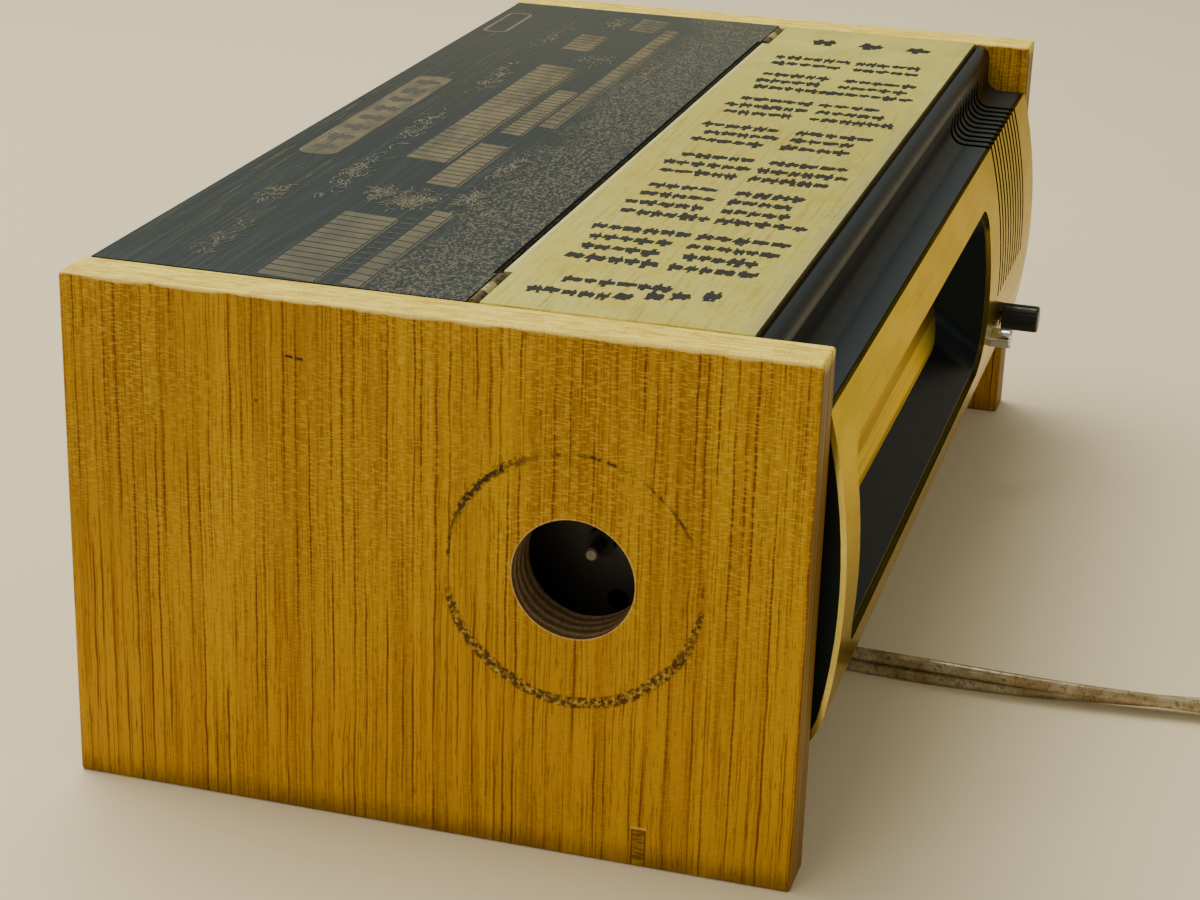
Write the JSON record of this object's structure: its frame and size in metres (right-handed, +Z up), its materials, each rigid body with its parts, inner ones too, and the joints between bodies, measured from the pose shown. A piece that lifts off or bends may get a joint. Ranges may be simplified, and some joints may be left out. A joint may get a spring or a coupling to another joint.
{
  "type": "tabletop radio",
  "caption": "Low tabletop radio between wooden end boards, with a bulging bright face, recessed dial, ribbed grille, hinged lid plate over a tray, small controls and a mains lead.",
  "frame": {"origin": "centre of the footprint of the radio and its knob, on the surface it stands on", "axes": "+X along the radio towards the end with the controls, +Y towards the back, +Z up"},
  "size_m": [0.315, 0.3328, 0.1154],
  "materials": {
    "end_wood": "oiled veneer, satin, worn at the corners",
    "board_wood": "raw plywood",
    "hardboard": "hardboard, matte",
    "black_plastic": "moulded, semi-gloss, a little dusty",
    "champagne_plate": "anodised, bright brushed along its length",
    "gold_plate": "anodised, satin, etched",
    "dark_plate": "etched and blackened, satin",
    "hinge_brass": "aged",
    "tray_plastic": "matte",
    "dial_glass": "clear, smoked, polished",
    "dial_paint": "printed, satin",
    "pointer_plastic": "satin",
    "pulley_plastic": "natural nylon",
    "dial_string": "braided",
    "bracket_paint": "black, satin",
    "steel": "zinc plated",
    "brass": "turned",
    "vanes": "bare",
    "board_resin": "phenolic board",
    "component_plastic": "moulded",
    "ferrite": "bare ferrite",
    "copper": "enamelled wire",
    "speaker_paper": "pressed",
    "knob_plastic": "semi-gloss",
    "button_chrome": "polished",
    "lead_rubber": "matte",
    "lead_vinyl": "aged clear vinyl",
    "plug_plastic": "moulded"
  },
  "bodies": {
    "case": {"left_end_panel": "end_wood", "right_end_panel": "end_wood", "front_moulding": "black_plastic", "face_plate": "champagne_plate", "bottom_board": "board_wood", "glued_battens": "board_wood", "back_cover": "hardboard", "rear_top_board": "board_wood", "rear_top_plate": "dark_plate", "hinge_body_leaves": "hinge_brass", "hinge_pins": "steel", "hinge_body_screws": "hinge_brass", "tray": "tray_plastic", "dial_glass": "dial_glass", "dial_scale": "dial_paint", "pointer_rail": "steel", "dial_chassis": "steel", "corner_pulley_pin": "steel", "dial_cord": "dial_string", "tuning_bracket": "bracket_paint", "spindle_bush": "brass", "reduction_drive": "brass", "capacitor_frame": "steel", "circuit_board": "board_resin", "board_pillars": "pulley_plastic", "coil_cans": "vanes", "transistors": "component_plastic", "electrolytic_capacitors": "component_plastic", "resistors": "component_plastic", "ferrite_rod": "ferrite", "ferrite_coil": "copper", "ferrite_brackets": "pulley_plastic", "transformer_core": "steel", "transformer_bobbin": "copper", "speaker_basket": "steel", "speaker_cone": "speaker_paper", "speaker_magnet": "ferrite", "inside_screws": "steel", "case_screws": "steel", "volume_control": "steel", "switch_body": "component_plastic", "strain_relief": "lead_rubber", "mains_lead": "lead_vinyl", "lead_coil": "lead_vinyl", "lead_tie": "lead_rubber", "plug_body": "plug_plastic", "plug_blades": "brass"},
    "lid": {"lid_plate": "gold_plate", "lid_board": "board_wood", "hinge_lid_leaves": "hinge_brass", "hinge_lid_screws": "hinge_brass"},
    "volume": {"volume_knob": "knob_plastic", "volume_shaft": "brass"},
    "button": {"push_button": "button_chrome"},
    "spindle": {"tuning_spindle": "brass"},
    "pointer": {"dial_pointer": "pointer_plastic"},
    "rotor": {"capacitor_rotor": "vanes"},
    "upper_wheel": {"corner_pulley_upper": "pulley_plastic"},
    "lower_wheel": {"corner_pulley_lower": "pulley_plastic"},
    "far_wheel": {"end_pulley": "pulley_plastic"}
  },
  "joints": [
    {"name": "lid_hinge", "type": "hinge", "parent": "case", "child": "lid", "pos_m": [0, 0.0021, 0.1142], "axis": [-1, 0, 0], "range_deg": [0, 100]},
    {"name": "volume_turn", "type": "hinge", "parent": "case", "child": "volume", "pos_m": [0.096, -0.08, 0.0475], "axis": [0, 1, 0], "range_deg": [0, 300]},
    {"name": "button_push", "type": "slide", "parent": "case", "child": "button", "axis": [0, 1, 0], "range_m": [0, 0.0025], "stiffness_N_per_m": 500, "springref_m": -0.001},
    {"name": "tuning_turn", "type": "hinge", "parent": "case", "child": "spindle", "pos_m": [-0.13, -0.0242, 0.063], "axis": [1, 0, 0], "range_deg": [-229.18, 534.76]},
    {"name": "pointer_slide", "type": "slide", "parent": "case", "child": "pointer", "axis": [1, 0, 0], "range_m": [-0.0305, 0.0705]},
    {"name": "rotor_turn", "type": "hinge", "parent": "case", "child": "rotor", "pos_m": [-0.1, -0.0242, 0.063], "axis": [1, 0, 0], "range_deg": [-55, 127]},
    {"name": "upper_wheel_turn", "type": "hinge", "parent": "case", "child": "upper_wheel", "pos_m": [-0.119, -0.041, 0.0705], "axis": [0, 0, 1], "range_deg": [-230.18, 535.76]},
    {"name": "lower_wheel_turn", "type": "hinge", "parent": "case", "child": "lower_wheel", "pos_m": [-0.119, -0.041, 0.0555], "axis": [0, 0, 1], "range_deg": [-535.76, 230.18]},
    {"name": "far_wheel_turn", "type": "hinge", "parent": "case", "child": "far_wheel", "pos_m": [0.0645, -0.0485, 0.063], "axis": [0, 1, 0], "range_deg": [-230.18, 535.76]}
  ],
  "couplings": [
    {"joint": "pointer_slide", "follows": "tuning_turn", "m_per_rad": 0.0075},
    {"joint": "rotor_turn", "follows": "tuning_turn", "ratio": 0.23562},
    {"joint": "upper_wheel_turn", "follows": "tuning_turn", "ratio": 1},
    {"joint": "lower_wheel_turn", "follows": "tuning_turn", "ratio": -1},
    {"joint": "far_wheel_turn", "follows": "tuning_turn", "ratio": 1}
  ]
}
